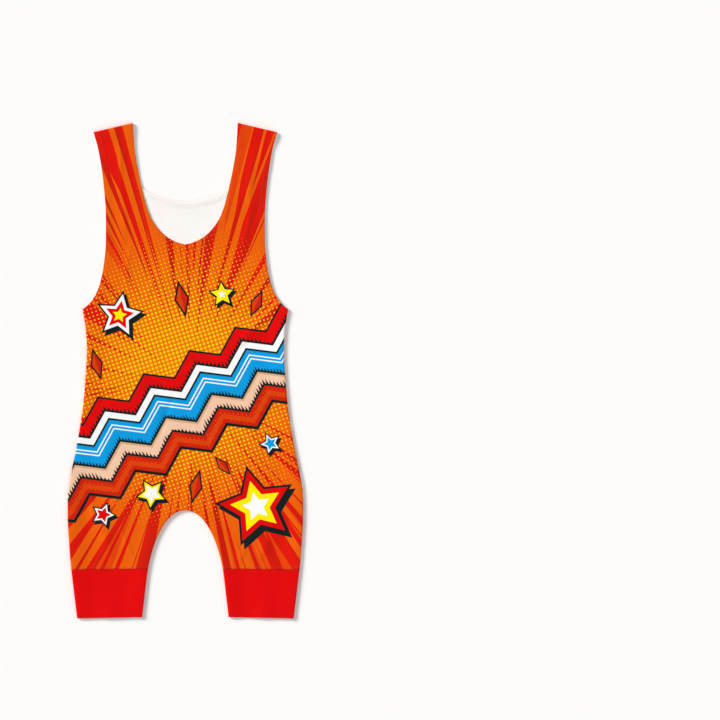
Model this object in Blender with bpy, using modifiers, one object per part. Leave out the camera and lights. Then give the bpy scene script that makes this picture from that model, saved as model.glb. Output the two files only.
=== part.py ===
"""A wrestling singlet laid flat with its front up.

+X is the wearer's left, +Y runs from the leg hems to the straps and +Z points up.
The back lies on the surface. The front lies on the back and is sewn to it along the
sides, the inseam and the shoulders, where both layers turn through a small round edge.
Outlines are given as heights above the leg hem and half-widths from the centre line.
"""

import math
from collections import namedtuple

import bmesh
import bpy
import numpy as np
from mathutils import Vector
from mathutils.geometry import delaunay_2d_cdt

LENGTH = 0.850  # leg hem to the top of the straps
CLOTH = 0.0012  # wall of one layer
SEAM_GAP = 0.0003  # between two pieces at a seam
EDGE_RADIUS = 0.0020  # outer radius of a sewn edge
EDGE_STRIP = 0.0003  # upright strip beside the seam line
EDGE_TURNS = 3  # facets of a quarter turn

SEAM_LEVEL = EDGE_RADIUS + EDGE_STRIP + SEAM_GAP / 2
CREST = 2 * SEAM_LEVEL  # top of the front beside a seam
LAY = 2 * CLOTH + SEAM_GAP  # top of the front where it rests on the back
CREST_FALL = 0.032  # run over which the front comes down from crest to lay
FOLD_FADE = 0.025  # folds die out this near a sewn edge

CURVE_STEP = 0.013  # spacing of outline points
FRONT_GRID = 0.021  # spacing of points inside the folded front
BACK_GRID = 0.060  # spacing of points inside the flat back
FINE_SAMPLES = 24  # samples between two table rows before the points are spaced out
CLEAR_OF_EDGE = 0.55  # grid points keep this share of the grid from the outline
SAME_POINT = 1e-7  # points closer than this are one

CUFF_SIDE = 0.0837  # height of the cuff seam at the side
CUFF_INSIDE = 0.0853  # height of the cuff seam at the inseam
BAND_BOTTOM = 0.4804
BAND_TOP = 0.5353

PRINT_ORANGE = (0.83, 0.12, 0.003, 1.0)
PRINT_ROUGHNESS = 0.55
CUFF_RED = (0.76, 0.0, 0.004, 1.0)
CUFF_ROUGHNESS = 0.50

Edge = namedtuple("Edge", "height half_width")
Fold = namedtuple("Fold", "x height turn length width rise")  # turn in degrees from +X
Run = namedtuple("Run", "points sewn")

SIDE_SEAM = (
    Edge(0.0000, 0.1857),
    Edge(0.0829, 0.1956),
    Edge(0.1241, 0.1991),
    Edge(0.1652, 0.2016),
    Edge(0.2000, 0.2018),
    Edge(0.2300, 0.1998),
    Edge(0.2620, 0.1935),
    Edge(0.3000, 0.1857),
    Edge(0.3500, 0.1775),
    Edge(0.4000, 0.1725),
    Edge(0.4540, 0.1691),
    Edge(0.4950, 0.1709),
    Edge(0.5180, 0.1743),
    Edge(0.5302, 0.1764),
)
INSEAM = (
    Edge(0.0021, 0.0741),
    Edge(0.0420, 0.0695),
    Edge(0.0829, 0.0644),
    Edge(0.1103, 0.0583),
    Edge(0.1378, 0.0489),
    Edge(0.1640, 0.0345),
    Edge(0.1800, 0.0180),
    Edge(0.1855, 0.0000),
)
FRONT_ARMHOLE = (
    Edge(0.5302, 0.1764),
    Edge(0.5350, 0.1702),
    Edge(0.5420, 0.1630),
    Edge(0.5500, 0.1573),
    Edge(0.5634, 0.1505),
    Edge(0.5909, 0.1427),
    Edge(0.6320, 0.1373),
    Edge(0.6750, 0.1363),
    Edge(0.7110, 0.1373),
    Edge(0.7624, 0.1424),
    Edge(0.8036, 0.1493),
    Edge(0.8342, 0.1575),
)
FRONT_NECK = (
    Edge(0.8500, 0.0899),
    Edge(0.8036, 0.0867),
    Edge(0.7624, 0.0798),
    Edge(0.7212, 0.0704),
    Edge(0.7006, 0.0643),
    Edge(0.6801, 0.0549),
    Edge(0.6595, 0.0378),
    Edge(0.6475, 0.0190),
    Edge(0.6420, 0.0000),
)
BACK_ARMHOLE = (
    Edge(0.5302, 0.1764),
    Edge(0.5314, 0.1655),
    Edge(0.5345, 0.1560),
    Edge(0.5420, 0.1470),
    Edge(0.5525, 0.1416),
    Edge(0.5628, 0.1381),
    Edge(0.5834, 0.1348),
    Edge(0.6250, 0.1340),
    Edge(0.7000, 0.1350),
    Edge(0.7624, 0.1408),
    Edge(0.8036, 0.1480),
    Edge(0.8342, 0.1575),
)
BACK_NECK = (
    Edge(0.8500, 0.0899),
    Edge(0.8250, 0.0900),
    Edge(0.7950, 0.0870),
    Edge(0.7700, 0.0832),
    Edge(0.7520, 0.0795),
    Edge(0.7378, 0.0722),
    Edge(0.7270, 0.0545),
    Edge(0.7178, 0.0250),
    Edge(0.7147, 0.0000),
)
FOLDS = (
    Fold(x=0.078, height=0.216, turn=28, length=0.150, width=0.017, rise=0.0021),
    Fold(x=-0.070, height=0.226, turn=147, length=0.130, width=0.015, rise=0.0019),
    Fold(x=0.010, height=0.252, turn=82, length=0.110, width=0.014, rise=0.0015),
    Fold(x=0.104, height=0.398, turn=-14, length=0.140, width=0.018, rise=0.0020),
    Fold(x=-0.098, height=0.421, turn=9, length=0.120, width=0.016, rise=0.0018),
    Fold(x=0.118, height=0.497, turn=52, length=0.110, width=0.016, rise=0.0019),
    Fold(x=-0.121, height=0.512, turn=131, length=0.100, width=0.014, rise=0.0017),
    Fold(x=-0.028, height=0.590, turn=98, length=0.100, width=0.017, rise=0.0015),
    Fold(x=0.112, height=0.742, turn=84, length=0.150, width=0.013, rise=0.0012),
    Fold(x=-0.108, height=0.705, turn=97, length=0.130, width=0.012, rise=0.0014),
    Fold(x=0.136, height=0.128, turn=71, length=0.110, width=0.017, rise=0.0017),
    Fold(x=-0.140, height=0.146, turn=112, length=0.120, width=0.015, rise=0.0018),
    Fold(x=0.131, height=0.000, turn=90, length=0.110, width=0.034, rise=0.0017),
    Fold(x=-0.127, height=0.000, turn=90, length=0.100, width=0.031, rise=0.0019),
)


def smooth(t):
    """0 at 0, 1 at 1, level at both ends."""
    t = np.clip(t, 0.0, 1.0)
    return t * t * (3 - 2 * t)


def spline(points):
    """A dense smooth line through the points. An end on the centre line is level there."""
    points = np.array(points, float)
    mirror = np.array((-1.0, 1.0))
    first, last = points[0], points[-1]
    before = points[1] * mirror if first[0] == 0 else 2 * first - points[1]
    after = points[-2] * mirror if last[0] == 0 else 2 * last - points[-2]
    padded = np.vstack((before, points, after))
    t = np.linspace(0, 1, FINE_SAMPLES, endpoint=False)[:, None]
    pieces = []
    for p0, p1, p2, p3 in zip(padded, padded[1:], padded[2:], padded[3:]):
        bend = 2 * p0 - 5 * p1 + 4 * p2 - p3
        twist = 3 * (p1 - p2) + p3 - p0
        pieces.append(p1 + 0.5 * ((p2 - p0) * t + bend * t**2 + twist * t**3))
    return np.vstack((*pieces, last))


def lengths(line):
    """Distance along the line to each of its points."""
    return np.concatenate(([0], np.cumsum(np.linalg.norm(np.diff(line, axis=0), axis=1))))


def spaced(line, step=CURVE_STEP):
    """The line again with its points evenly spaced, about a step apart."""
    along = lengths(line)
    at = np.linspace(0, along[-1], max(2, round(along[-1] / step) + 1))
    return np.column_stack([np.interp(at, along, line[:, k]) for k in range(2)])


def edge_line(table, low=None, high=None):
    """The wearer's left edge that a table gives, cut to the heights from low to high."""
    line = spline([(row.half_width, row.height) for row in table])
    rising = line[-1, 1] > line[0, 1]
    line = line if rising else line[::-1]
    low = line[0, 1] if low is None else low
    high = line[-1, 1] if high is None else high
    ends = [(np.interp(h, line[:, 1], line[:, 0]), h) for h in (low, high)]
    inside = line[(line[:, 1] > low) & (line[:, 1] < high)]
    line = np.vstack((ends[0], inside, ends[1]))
    return spaced(line if rising else line[::-1])


def mirrored(line):
    """The same edge on the wearer's right, run the other way."""
    return line[::-1] * (-1, 1)


def arch(line):
    """An edge that ends on the centre line, with its mirror image, as one line."""
    return np.vstack((line, mirrored(line)[1:]))


def outward(line):
    """Unit normals on the right of the line's direction of travel."""
    along = np.gradient(line, axis=0)
    along /= np.linalg.norm(along, axis=1)[:, None]
    return np.column_stack((along[:, 1], -along[:, 0]))


def side_seam(low, high):
    return Run(edge_line(SIDE_SEAM, low, high), sewn=True)


def shoulder():
    ends = np.array([(row.half_width, row.height) for row in (FRONT_ARMHOLE[-1], FRONT_NECK[0])])
    return Run(spaced(ends), sewn=True)


def whole(runs, top=None):
    """The outline all round: the left side's runs, the top run, and the right side's."""
    right = [Run(mirrored(run.points), run.sewn) for run in reversed(runs)]
    return runs + ([top] if top else []) + right


def flat_outline(runs):
    """The outline of the flat part, anticlockwise, with each point's way out to the seam.

    A sewn run is drawn in by the edge radius. It also sets the corners that it shares.
    """
    points, ways = [], []
    for before, run, after in zip(runs[-1:] + runs[:-1], runs, runs[1:] + runs[:1]):
        if run.sewn:
            normals = outward(run.points)
            points += list(run.points - EDGE_RADIUS * normals)
            ways += list(normals)
            continue
        kept = run.points[1 if before.sewn else 0 : -1]
        points += list(kept)
        ways += [np.zeros(2)] * len(kept)
    return np.array(points), np.array(ways)


def distances(points, starts, ends):
    """Distance from each point to the nearest of the segments."""
    span = ends - starts
    share = np.einsum("psk,sk->ps", points[:, None] - starts, span) / (span**2).sum(1)
    nearest = starts + np.clip(share, 0, 1)[..., None] * span
    return np.linalg.norm(points[:, None] - nearest, axis=2).min(axis=1)


def sewn_segments(points, ways):
    """The segments of the flat outline that lie along sewn edges."""
    following = np.roll(np.arange(len(points)), -1)
    sewn = (ways != 0).any(axis=1)
    sewn = sewn & sewn[following]
    return points[sewn], points[following][sewn]


def inside_points(outline, grid):
    """A staggered grid of points inside an outline, clear of its edge."""
    low, high = outline.min(axis=0), outline.max(axis=0)
    rows = np.arange(low[1], high[1], grid * math.sqrt(3) / 2)
    grid_points = [
        (x + (grid / 2 if k % 2 else 0), y)
        for k, y in enumerate(rows)
        for x in np.arange(-grid * math.ceil(high[0] / grid), high[0], grid)
        if low[0] < x
    ]
    if not grid_points:
        return np.empty((0, 2))
    points = np.array(grid_points)
    ends = np.roll(outline, -1, axis=0)
    crossing = (outline[:, 1] > points[:, 1:]) != (ends[:, 1] > points[:, 1:])
    rise = np.where(ends[:, 1] == outline[:, 1], 1, ends[:, 1] - outline[:, 1])
    at = outline[:, 0] + (points[:, 1:] - outline[:, 1]) / rise * (ends[:, 0] - outline[:, 0])
    inside = (crossing & (points[:, :1] < at)).sum(axis=1) % 2 == 1
    clear = distances(points, outline, ends) > grid * CLEAR_OF_EDGE
    return points[inside & clear]


def folds_at(points):
    """Height that the folds add to the front at each point."""
    total = np.zeros(len(points))
    for fold in FOLDS:
        turn = math.radians(fold.turn)
        from_middle = points - (fold.x, fold.height)
        along = from_middle @ (math.cos(turn), math.sin(turn))
        across = from_middle @ (-math.sin(turn), math.cos(turn))
        taper = 1 - smooth(np.abs(along) / (fold.length / 2))
        total += fold.rise * taper * np.exp(-((across / fold.width) ** 2))
    return total


def front_level(points, outline, ways):
    """Top of the front layer: high beside the seams, low where it rests on the back."""
    away = distances(points, *sewn_segments(outline, ways))
    fall = (CREST - LAY) * (1 - smooth(away / CREST_FALL))
    return LAY + fall + folds_at(points) * smooth(away / FOLD_FADE)


def turn_edges(bm, outward_layer, way_up):
    """Turns the sewn edges through a quarter circle to the seam, then along a short strip.

    way_up is -1 on the front, whose edges turn down, and 1 on the back.
    """
    angles = np.linspace(0, math.pi / 2, EDGE_TURNS + 1)
    steps = [
        (EDGE_RADIUS * (math.sin(b) - math.sin(a)), EDGE_RADIUS * (math.cos(a) - math.cos(b)))
        for a, b in zip(angles, angles[1:])
    ]
    steps.append((0, EDGE_STRIP))
    edges = [
        edge
        for edge in bm.edges
        if edge.is_boundary and all(v[outward_layer].length > 0 for v in edge.verts)
    ]
    for out, turn in steps:
        made = bmesh.ops.extrude_edge_only(bm, edges=edges)["geom"]
        for vert in (item for item in made if isinstance(item, bmesh.types.BMVert)):
            vert.co += vert[outward_layer] * out + Vector((0, 0, way_up * turn))
        edges = [
            item
            for item in made
            if isinstance(item, bmesh.types.BMEdge)
            and item.is_boundary
            and all(vert in made for vert in item.verts)
        ]


def build_panel(name, runs, front, material, carrier):
    """One piece of cloth: its outline is filled, lifted, turned at the sewn edges and thickened."""
    outline, ways = flat_outline(runs)
    inner = inside_points(outline, FRONT_GRID if front else BACK_GRID)
    points = np.vstack((outline, inner))
    directions = np.vstack((ways, np.zeros((len(inner), 2))))
    levels = front_level(points, outline, ways) if front else np.zeros(len(points))
    loop = list(range(len(outline)))
    flat, _, triangles, origins, _, _ = delaunay_2d_cdt(
        [Vector(point) for point in points], [], [loop], 1, SAME_POINT
    )
    bm = bmesh.new()
    outward_layer = bm.verts.layers.float_vector.new("outward")
    for point, origin in zip(flat, origins):
        vert = bm.verts.new((*point, levels[origin[0]]))
        vert[outward_layer] = Vector((*directions[origin[0]], 0))
    bm.verts.ensure_lookup_table()
    for triangle in triangles:
        bm.faces.new([bm.verts[k] for k in triangle])
    turn_edges(bm, outward_layer, -1 if front else 1)
    bmesh.ops.recalc_face_normals(bm, faces=bm.faces)
    upward = sum(face.normal.z * face.calc_area() for face in bm.faces) > 0
    if upward != front:
        bmesh.ops.reverse_faces(bm, faces=bm.faces)
    mesh = bpy.data.meshes.new(name)
    bm.to_mesh(mesh)
    bm.free()
    mesh.shade_smooth()
    panel = bpy.data.objects.new(name, mesh)
    collection.objects.link(panel)
    panel.parent = carrier
    mesh.materials.append(material)
    wall = panel.modifiers.new("wall", "SOLIDIFY")
    wall.thickness = CLOTH
    wall.offset = -1
    wall.use_even_offset = True
    return panel


def body_runs(armhole, neck):
    """A one-piece layer from the cuff seams to the shoulders."""
    low = CUFF_SIDE + SEAM_GAP / 2
    left = [
        cuff_seam(+SEAM_GAP / 2),
        side_seam(low, SIDE_SEAM[-1].height),
        Run(edge_line(armhole), sewn=False),
        shoulder(),
    ]
    return whole(left, Run(arch(edge_line(neck)), sewn=False)) + [crotch()]


def lower_back_runs():
    top = BAND_BOTTOM - SEAM_GAP / 2
    sides = side_seam(CUFF_SIDE + SEAM_GAP / 2, top)
    return whole([cuff_seam(+SEAM_GAP / 2), sides], across(sides.points[-1])) + [crotch()]


def band_runs():
    low, high = BAND_BOTTOM + SEAM_GAP / 2, BAND_TOP - SEAM_GAP / 2
    sides = side_seam(low, SIDE_SEAM[-1].height)
    armhole = Run(edge_line(BACK_ARMHOLE, high=high), sewn=False)
    return whole([sides, armhole], across(armhole.points[-1])) + [
        Run(across(sides.points[0]).points[::-1], sewn=False)
    ]


def yoke_runs():
    armhole = Run(edge_line(BACK_ARMHOLE, low=BAND_TOP + SEAM_GAP / 2), sewn=False)
    neck = Run(arch(edge_line(BACK_NECK)), sewn=False)
    return whole([armhole, shoulder()], neck) + [
        Run(across(armhole.points[0]).points[::-1], sewn=False)
    ]


def cuff_runs(side):
    """The four edges of a cuff, on the wearer's left if side is 1 and the right if it is -1."""
    top = cuff_seam(-SEAM_GAP / 2).points
    hem = np.array([(row.half_width, row.height) for row in (INSEAM[0], SIDE_SEAM[0])])
    runs = [
        Run(spaced(hem), sewn=False),
        side_seam(SIDE_SEAM[0].height, top[-1, 1]),
        Run(top[::-1], sewn=False),
        Run(edge_line(INSEAM, high=top[0, 1])[::-1], sewn=True),
    ]
    if side > 0:
        return runs
    return [Run(mirrored(run.points), run.sewn) for run in reversed(runs)]


def cuff_seam(offset):
    """The seam between a leg and its cuff, moved along the leg by the offset."""
    ends = []
    for table, height in ((INSEAM, CUFF_INSIDE + offset), (SIDE_SEAM, CUFF_SIDE + offset)):
        ends.append(edge_line(table, low=height)[0])
    return Run(spaced(np.array(ends)), sewn=False)


def crotch():
    """The inseams of both legs above the cuffs, from the right leg over to the left."""
    left = edge_line(INSEAM, low=CUFF_INSIDE + SEAM_GAP / 2)
    return Run(arch(left)[::-1], sewn=True)


def across(corner):
    """A straight seam from a corner on the left to its mirror image."""
    return Run(spaced(np.array([corner, corner * (-1, 1)])), sewn=False)


def make_material(name, colour, roughness):
    material = bpy.data.materials.new(name)
    material.use_nodes = True
    shader = material.node_tree.nodes["Principled BSDF"]
    shader.inputs["Base Color"].default_value = colour
    shader.inputs["Roughness"].default_value = roughness
    shader.inputs["Metallic"].default_value = 0.0
    return material


for old in list(bpy.data.objects):
    bpy.data.objects.remove(old)
collection = bpy.data.collections.new("wrestling_singlet")
bpy.context.scene.collection.children.link(collection)

hem_line = bpy.data.objects.new("hem_line", None)
hem_line.location = (0, -LENGTH / 2, 0)
collection.objects.link(hem_line)

printed = make_material("printed_knit", PRINT_ORANGE, PRINT_ROUGHNESS)
red = make_material("red_knit", CUFF_RED, CUFF_ROUGHNESS)

build_panel("front_body", body_runs(FRONT_ARMHOLE, FRONT_NECK), True, printed, hem_line)
build_panel("back_yoke", yoke_runs(), False, printed, hem_line)
build_panel("back_band", band_runs(), False, red, hem_line)
build_panel("back_body", lower_back_runs(), False, printed, hem_line)
for leg, side in (("left", 1), ("right", -1)):
    build_panel(f"front_cuff_{leg}", cuff_runs(side), True, red, hem_line)
    build_panel(f"back_cuff_{leg}", cuff_runs(side), False, red, hem_line)
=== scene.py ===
import math
from collections import namedtuple
from functools import partialmethod

import bpy
import numpy as np
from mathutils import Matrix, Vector, noise
from mathutils.geometry import delaunay_2d_cdt


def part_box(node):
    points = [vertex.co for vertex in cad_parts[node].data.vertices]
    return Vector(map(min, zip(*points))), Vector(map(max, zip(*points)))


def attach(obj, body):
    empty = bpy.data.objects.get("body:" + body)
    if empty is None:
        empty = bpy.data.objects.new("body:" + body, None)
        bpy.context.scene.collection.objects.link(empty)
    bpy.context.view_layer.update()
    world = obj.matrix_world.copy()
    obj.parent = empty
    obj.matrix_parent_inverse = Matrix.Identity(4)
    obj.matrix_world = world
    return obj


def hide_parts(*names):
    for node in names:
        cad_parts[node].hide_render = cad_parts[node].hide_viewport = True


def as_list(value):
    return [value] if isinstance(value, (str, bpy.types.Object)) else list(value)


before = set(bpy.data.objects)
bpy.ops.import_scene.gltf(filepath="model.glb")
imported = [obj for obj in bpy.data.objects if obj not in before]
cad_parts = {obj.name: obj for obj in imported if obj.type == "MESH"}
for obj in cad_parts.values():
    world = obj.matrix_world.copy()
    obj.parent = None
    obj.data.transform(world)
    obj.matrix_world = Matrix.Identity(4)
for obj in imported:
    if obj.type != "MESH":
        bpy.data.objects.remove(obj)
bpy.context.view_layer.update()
mm = 0.001
print("frame loaded")


# outlines: height above the leg hem, half width from the centre line, in mm
sideSeam = [(0, 185.7), (82.9, 195.6), (124.1, 199.1), (165.2, 201.6), (200, 201.8), (230, 199.8),
            (262, 193.5), (300, 185.7), (350, 177.5), (400, 172.5), (454, 169.1), (495, 170.9),
            (518, 174.3), (530.2, 176.4)]
inseam = [(2.1, 74.1), (42, 69.5), (82.9, 64.4), (110.3, 58.3), (137.8, 48.9), (164, 34.5),
          (180, 18), (185.5, 0)]
frontArmhole = [(530.2, 176.4), (535, 170.2), (542, 163), (550, 157.3), (563.4, 150.5),
                (590.9, 142.7), (632, 137.3), (675, 136.3), (711, 137.3), (762.4, 142.4), (803.6, 149.3),
                (834.2, 157.5)]
frontNeck = [(850, 89.9), (803.6, 86.7), (762.4, 79.8), (721.2, 70.4), (700.6, 64.3),
             (680.1, 54.9), (659.5, 37.8), (647.5, 19), (642, 0)]
backArmhole = [(530.2, 176.4), (531.4, 165.5), (534.5, 156), (542, 147), (552.5, 141.6),
               (562.8, 138.1), (583.4, 134.8), (625, 134), (700, 135), (762.4, 140.8),
               (803.6, 148), (834.2, 157.5)]
backNeck = [(850, 89.9), (825, 90), (795, 87), (770, 83.2), (752, 79.5), (737.8, 72.2),
            (727, 54.5), (717.8, 25), (714.7, 0)]

seams = {
    "cuffAtSide": 83.7,
    "cuffAtInseam": 85.3,
    "bandBottom": 480.4,
    "bandTop": 535.3,
    "gap": 0.3,
    "samples": 24,  # between two rows of an outline
    "step": 2.6,  # spacing of outline points
}
halfGap = seams["gap"] / 2

Run = namedtuple("Run", "points kind")  # a stretch of a piece's edge: sewn, hem or join


def smooth(t):
    t = np.clip(t, 0.0, 1.0)
    return t * t * (3 - 2 * t)


def splined(table):
    # a smooth line through the rows of a table, mirrored where it meets the centre line
    points = np.array([(half, height) for height, half in table], float)
    mirror = np.array((-1.0, 1.0))
    before = points[1] * mirror if points[0, 0] == 0 else 2 * points[0] - points[1]
    after = points[-2] * mirror if points[-1, 0] == 0 else 2 * points[-1] - points[-2]
    padded = np.vstack((before, points, after))
    t = np.linspace(0, 1, seams["samples"], endpoint=False)[:, None]
    parts = []
    for a, b, c, d in zip(padded, padded[1:], padded[2:], padded[3:]):
        parts.append(b + 0.5 * ((c - a) * t + (2*a - 5*b + 4*c - d) * t**2 + (3*(b - c) + d - a) * t**3))
    return np.vstack((*parts, points[-1]))


def spaced(line):
    along = np.concatenate(([0], np.cumsum(np.linalg.norm(np.diff(line, axis=0), axis=1))))
    at = np.linspace(0, along[-1], max(2, round(along[-1] / seams["step"]) + 1))
    return np.column_stack([np.interp(at, along, line[:, k]) for k in range(2)])


def edgeLine(table, low=None, high=None):
    # the wearer's left edge, cut to the heights from low to high
    line = splined(table)
    rising = line[-1, 1] > line[0, 1]
    line = line if rising else line[::-1]
    low = line[0, 1] if low is None else low
    high = line[-1, 1] if high is None else high
    ends = [(np.interp(h, line[:, 1], line[:, 0]), h) for h in (low, high)]
    line = np.vstack((ends[0], line[(line[:, 1] > low) & (line[:, 1] < high)], ends[1]))
    return spaced(line if rising else line[::-1])


def mirrored(line):
    return line[::-1] * (-1, 1)


def arch(line):
    return np.vstack((line, mirrored(line)[1:]))


def straight(start, end):
    return spaced(np.array([start, end], float))


def mirroredRuns(runs):
    return [Run(mirrored(run.points), run.kind) for run in reversed(runs)]


def bothSides(left, top):
    return [*left, top, *mirroredRuns(left)]


def outlineOf(runs):
    return np.vstack([run.points[:-1] for run in runs])


def outward(line):
    along = np.gradient(line, axis=0)
    along /= np.linalg.norm(along, axis=1)[:, None]
    return np.column_stack((along[:, 1], -along[:, 0]))


def cuffSeam(offset):
    ends = [edgeLine(inseam, low=seams["cuffAtInseam"] + offset)[0],
            edgeLine(sideSeam, low=seams["cuffAtSide"] + offset)[0]]
    return Run(straight(*ends), "join")


def seamAcross(corner):
    # from a corner to its mirror image
    return Run(straight(corner, corner * (-1, 1)), "join")


def crotch():
    return Run(arch(edgeLine(inseam, low=seams["cuffAtInseam"] + halfGap))[::-1], "sewn")


def shoulder():
    outer, inner = frontArmhole[-1], frontNeck[0]
    return Run(straight(outer[::-1], inner[::-1]), "sewn")


def sideRun(low, high):
    return Run(edgeLine(sideSeam, low, high), "sewn")


def frontRuns():
    left = [cuffSeam(halfGap), sideRun(seams["cuffAtSide"] + halfGap, sideSeam[-1][0]),
            Run(edgeLine(frontArmhole), "hem"), shoulder()]
    return bothSides(left, Run(arch(edgeLine(frontNeck)), "hem")) + [crotch()]


def backBodyRuns():
    side = sideRun(seams["cuffAtSide"] + halfGap, seams["bandBottom"] - halfGap)
    return bothSides([cuffSeam(halfGap), side], seamAcross(side.points[-1])) + [crotch()]


def bandRuns():
    side = sideRun(seams["bandBottom"] + halfGap, sideSeam[-1][0])
    armhole = Run(edgeLine(backArmhole, high=seams["bandTop"] - halfGap), "hem")
    top, bottom = seamAcross(armhole.points[-1]), seamAcross(side.points[0] * (-1, 1))
    return bothSides([side, armhole], top) + [bottom]


def yokeRuns():
    armhole = Run(edgeLine(backArmhole, low=seams["bandTop"] + halfGap), "hem")
    neck, bottom = Run(arch(edgeLine(backNeck)), "hem"), seamAcross(armhole.points[0] * (-1, 1))
    return bothSides([armhole, shoulder()], neck) + [bottom]


def cuffRuns(side):
    top = cuffSeam(-halfGap).points
    hem = straight(inseam[0][::-1], sideSeam[0][::-1])
    runs = [Run(hem, "hem"), sideRun(0, top[-1, 1]), Run(top[::-1], "join"),
            Run(edgeLine(inseam, high=top[0, 1])[::-1], "sewn")]
    return runs if side > 0 else mirroredRuns(runs)


# the points that fill a panel, close together near its edges
filling = {
    "frontGrid": 3.0,  # spacing away from the edges, in mm
    "backGrid": 4.5,
    "rings": {  # how far in from each kind of edge its rows of points lie
        "sewn": (0.25, 0.8, 1.3, 2.0, 4.0, 7.0),
        "hem": (0.25, 0.75, 2.2, 3.0, 3.8, 5.5, 7.2, 8.0, 8.8, 10.0, 11.8),
        "join": (0.35, 1.3, 2.4, 3.5, 5.0, 7.0),
    },
    "depthKept": 0.97,  # least share of its depth at which a ring's point stays
    "ringMargin": 0.5,  # from an edge of another kind
    "gridMargin": 0.55,  # from the innermost ring, in steps of the grid
    "samePoint": 1e-6,
    "sharpAngle": 55.0,
    "chunk": 1500,  # points measured at a time, so that the arrays stay small
    "far": 1000.0,  # the distance where a panel has no edge of a kind
}


def awayFrom(points, starts, ends):
    span = ends - starts
    size = np.maximum((span**2).sum(1), filling["samePoint"] ** 2)
    found = np.empty(len(points))
    for k in range(0, len(points), filling["chunk"]):
        part = points[k : k + filling["chunk"], None]
        share = np.clip(((part - starts) * span).sum(2) / size, 0, 1)[..., None]
        found[k : k + filling["chunk"]] = np.linalg.norm(part - starts - share * span, axis=2).min(1)
    return found


def kindDistances(points, runs):
    found = {kind: np.full(len(points), filling["far"]) for kind in filling["rings"]}
    for run in runs:
        away = awayFrom(points, run.points[:-1], run.points[1:])
        found[run.kind] = np.minimum(found[run.kind], away)
    return found


def insideOf(points, outline):
    ends = np.roll(outline, -1, axis=0)
    inside = np.empty(len(points), bool)
    for k in range(0, len(points), filling["chunk"]):
        part = points[k : k + filling["chunk"]]
        crossing = (outline[:, 1] > part[:, 1:]) != (ends[:, 1] > part[:, 1:])
        rise = np.where(ends[:, 1] == outline[:, 1], 1, ends[:, 1] - outline[:, 1])
        at = outline[:, 0] + (part[:, 1:] - outline[:, 1]) / rise * (ends[:, 0] - outline[:, 0])
        inside[k : k + filling["chunk"]] = (crossing & (part[:, :1] < at)).sum(1) % 2 == 1
    return inside


def ringRow(run, depth, runs, outline, margin):
    # points at a depth from one run of the outline, and which of them lie well inside
    ring = run.points - depth * outward(run.points)
    away = kindDistances(ring, runs)
    others = np.minimum.reduce([away[kind] for kind in away if kind != run.kind])
    clear = (away[run.kind] > depth * filling["depthKept"]) & (others > margin)
    return ring, clear & insideOf(ring, outline)


def ringPoints(runs, outline):
    points, lines = [], []
    for run in runs:
        for depth in filling["rings"][run.kind]:
            ring, clear = ringRow(run, depth, runs, outline, filling["ringMargin"])
            index = np.cumsum(clear) - 1 + len(points)
            joined = clear[:-1] & clear[1:]
            lines += list(zip(index[:-1][joined], index[1:][joined]))
            points += list(ring[clear])
    return np.array(points), lines


def gridPoints(runs, outline, step):
    low, high = outline.min(0), outline.max(0)
    rows = np.arange(low[1], high[1], step * math.sqrt(3) / 2)
    columns = np.arange(low[0], high[0], step)
    x = np.tile(columns, len(rows)) + np.repeat(np.arange(len(rows)) % 2 * step / 2, len(columns))
    points = np.column_stack((x, np.repeat(rows, len(columns))))
    points = points[insideOf(points, outline)]
    away = kindDistances(points, runs)
    clear = np.ones(len(points), bool)
    for kind, rings in filling["rings"].items():
        clear &= away[kind] > rings[-1] + step * filling["gridMargin"]
    return points[clear]


def filledOutline(runs, outline, step):
    # the places, the triangles, the rim in order and the area in square metres
    rings, lines = ringPoints(runs, outline)
    points = np.vstack((outline, rings, gridPoints(runs, outline, step)))
    lines = [(a + len(outline), b + len(outline)) for a, b in lines]
    flat, _, faces, origins, _, _ = delaunay_2d_cdt(
        [Vector(p) for p in points], lines, [list(range(len(outline)))], 1, filling["samePoint"])
    plan = np.array([tuple(p) for p in flat])
    placed = {source: k for k, sources in enumerate(origins) for source in sources}
    rim = [placed[k] for k in range(len(outline))]
    rim = [k for n, k in enumerate(rim) if k != rim[n - 1]]
    corners = np.array([list(face) for face in faces])
    a, b, c = (plan[corners[:, k]] for k in range(3))
    doubled = np.cross(b - a, c - a)
    corners[doubled < 0] = corners[doubled < 0][:, ::-1]
    return plan, corners, rim, 0.5 * np.abs(doubled).sum() * mm * mm


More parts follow.
